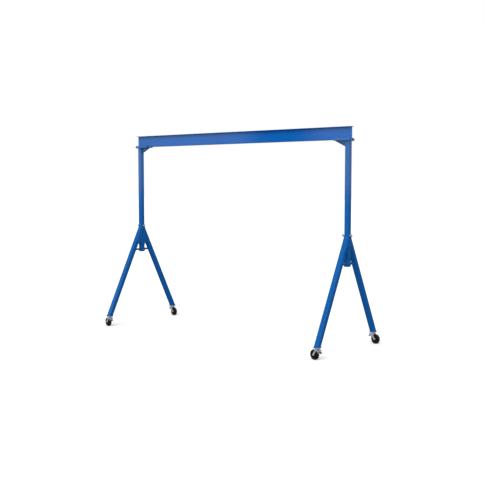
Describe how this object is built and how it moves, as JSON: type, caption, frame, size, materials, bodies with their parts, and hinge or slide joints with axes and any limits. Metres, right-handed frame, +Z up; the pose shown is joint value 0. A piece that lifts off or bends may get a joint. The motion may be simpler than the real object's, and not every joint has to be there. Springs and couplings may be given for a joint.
{
  "type": "portable gantry crane",
  "caption": "Height-adjustable portable gantry: an I-beam bridge on A-frames with lock pins and braked swivel casters.",
  "frame": {"origin": "on the floor, under the middle of the beam", "axes": "+X along the beam, +Y across the feet, +Z up"},
  "size_m": [4.7098, 1.7172, 3.419],
  "materials": {
    "beam_paint": "satin enamel over rolled steel",
    "mast_paint": "satin enamel over square tube",
    "frame_paint": "satin enamel over square tube",
    "zinc": "satin zinc plate",
    "bolt_zinc": "zinc plated fasteners",
    "tyre": "satin phenolic-black tread",
    "hub_steel": "machined steel"
  },
  "bodies": {
    "left_frame": {"left_sleeve": "frame_paint", "left_guide_collar": "frame_paint", "left_cross_brace": "frame_paint", "left_near_leg": "frame_paint", "left_far_leg": "frame_paint", "left_inner_gusset": "frame_paint", "left_outer_gusset": "frame_paint", "left_foot_plates": "frame_paint", "left_caster_plates": "zinc", "left_kingpins": "zinc", "left_caster_bolts": "bolt_zinc"},
    "right_frame": {"right_sleeve": "frame_paint", "right_guide_collar": "frame_paint", "right_cross_brace": "frame_paint", "right_near_leg": "frame_paint", "right_far_leg": "frame_paint", "right_inner_gusset": "frame_paint", "right_outer_gusset": "frame_paint", "right_foot_plates": "frame_paint", "right_caster_plates": "zinc", "right_kingpins": "zinc", "right_caster_bolts": "bolt_zinc"},
    "bridge": {"i_beam": "beam_paint", "clamp_bars": "mast_paint", "clamp_bolts": "mast_paint", "left_mast": "mast_paint", "left_top_plate": "mast_paint", "left_knee_web": "mast_paint", "left_knee_flange": "mast_paint", "right_mast": "mast_paint", "right_top_plate": "mast_paint", "right_knee_web": "mast_paint", "right_knee_flange": "mast_paint"},
    "left_pin": {"left_lock_pin": "zinc", "left_clip_pin": "bolt_zinc"},
    "left_ring": {"left_clip_ring": "bolt_zinc"},
    "left_near_swivel": {"left_near_fork": "zinc", "left_near_axle": "bolt_zinc"},
    "left_near_roller": {"left_near_wheel": "tyre", "left_near_hub": "hub_steel"},
    "left_near_brake": {"left_near_brake_lever": "zinc"},
    "left_far_swivel": {"left_far_fork": "zinc", "left_far_axle": "bolt_zinc"},
    "left_far_roller": {"left_far_wheel": "tyre", "left_far_hub": "hub_steel"},
    "left_far_brake": {"left_far_brake_lever": "zinc"},
    "right_pin": {"right_lock_pin": "zinc", "right_clip_pin": "bolt_zinc"},
    "right_ring": {"right_clip_ring": "bolt_zinc"},
    "right_near_swivel": {"right_near_fork": "zinc", "right_near_axle": "bolt_zinc"},
    "right_near_roller": {"right_near_wheel": "tyre", "right_near_hub": "hub_steel"},
    "right_near_brake": {"right_near_brake_lever": "zinc"},
    "right_far_swivel": {"right_far_fork": "zinc", "right_far_axle": "bolt_zinc"},
    "right_far_roller": {"right_far_wheel": "tyre", "right_far_hub": "hub_steel"},
    "right_far_brake": {"right_far_brake_lever": "zinc"}
  },
  "joints": [
    {"name": "bridge_lift", "type": "slide", "parent": "left_frame", "child": "bridge", "axis": [0, 0, 1], "range_m": [0, 0.3048]},
    {"name": "right_frame_lift", "type": "slide", "parent": "bridge", "child": "right_frame", "axis": [0, 0, -1], "range_m": [0, 0.3048]},
    {"name": "left_pin_play", "type": "slide", "parent": "bridge", "child": "left_pin", "axis": [-1, 0, 0], "range_m": [-0.02, 0.03]},
    {"name": "left_ring_flip", "type": "hinge", "parent": "left_pin", "child": "left_ring", "pos_m": [-2.144, 0, 1.797], "axis": [0, -1, 0], "range_deg": [0, 170]},
    {"name": "left_near_swivel_turn", "type": "hinge", "parent": "left_frame", "child": "left_near_swivel", "pos_m": [-2.224, -0.80782, 0.17], "axis": [0, 0, 1], "continuous": true},
    {"name": "left_near_wheel_roll", "type": "hinge", "parent": "left_near_swivel", "child": "left_near_roller", "pos_m": [-2.27682, -0.79659, 0.0762], "axis": [0.2079, 0.9781, 0], "continuous": true},
    {"name": "left_near_brake_press", "type": "hinge", "parent": "left_near_swivel", "child": "left_near_brake", "pos_m": [-2.18683, -0.81572, 0.142], "axis": [0.2079, 0.9781, 0], "range_deg": [0, 10]},
    {"name": "left_far_swivel_turn", "type": "hinge", "parent": "left_frame", "child": "left_far_swivel", "pos_m": [-2.224, 0.80782, 0.17], "axis": [0, 0, 1], "continuous": true},
    {"name": "left_far_wheel_roll", "type": "hinge", "parent": "left_far_swivel", "child": "left_far_roller", "pos_m": [-2.17118, 0.79659, 0.0762], "axis": [-0.2079, -0.9781, 0], "continuous": true},
    {"name": "left_far_brake_press", "type": "hinge", "parent": "left_far_swivel", "child": "left_far_brake", "pos_m": [-2.26117, 0.81572, 0.142], "axis": [-0.2079, -0.9781, 0], "range_deg": [0, 10]},
    {"name": "right_pin_play", "type": "slide", "parent": "bridge", "child": "right_pin", "axis": [1, 0, 0], "range_m": [-0.02, 0.03]},
    {"name": "right_ring_flip", "type": "hinge", "parent": "right_pin", "child": "right_ring", "pos_m": [2.144, 0, 1.797], "axis": [0, 1, 0], "range_deg": [0, 170]},
    {"name": "right_near_swivel_turn", "type": "hinge", "parent": "right_frame", "child": "right_near_swivel", "pos_m": [2.224, -0.80782, 0.17], "axis": [0, 0, 1], "continuous": true},
    {"name": "right_near_wheel_roll", "type": "hinge", "parent": "right_near_swivel", "child": "right_near_roller", "pos_m": [2.17118, -0.79659, 0.0762], "axis": [0.2079, 0.9781, 0], "continuous": true},
    {"name": "right_near_brake_press", "type": "hinge", "parent": "right_near_swivel", "child": "right_near_brake", "pos_m": [2.26117, -0.81572, 0.142], "axis": [0.2079, 0.9781, 0], "range_deg": [0, 10]},
    {"name": "right_far_swivel_turn", "type": "hinge", "parent": "right_frame", "child": "right_far_swivel", "pos_m": [2.224, 0.80782, 0.17], "axis": [0, 0, 1], "continuous": true},
    {"name": "right_far_wheel_roll", "type": "hinge", "parent": "right_far_swivel", "child": "right_far_roller", "pos_m": [2.27682, 0.79659, 0.0762], "axis": [-0.2079, -0.9781, 0], "continuous": true},
    {"name": "right_far_brake_press", "type": "hinge", "parent": "right_far_swivel", "child": "right_far_brake", "pos_m": [2.18683, 0.81572, 0.142], "axis": [-0.2079, -0.9781, 0], "range_deg": [0, 10]}
  ],
  "couplings": [
    {"joint": "right_frame_lift", "follows": "bridge_lift", "ratio": 1}
  ]
}
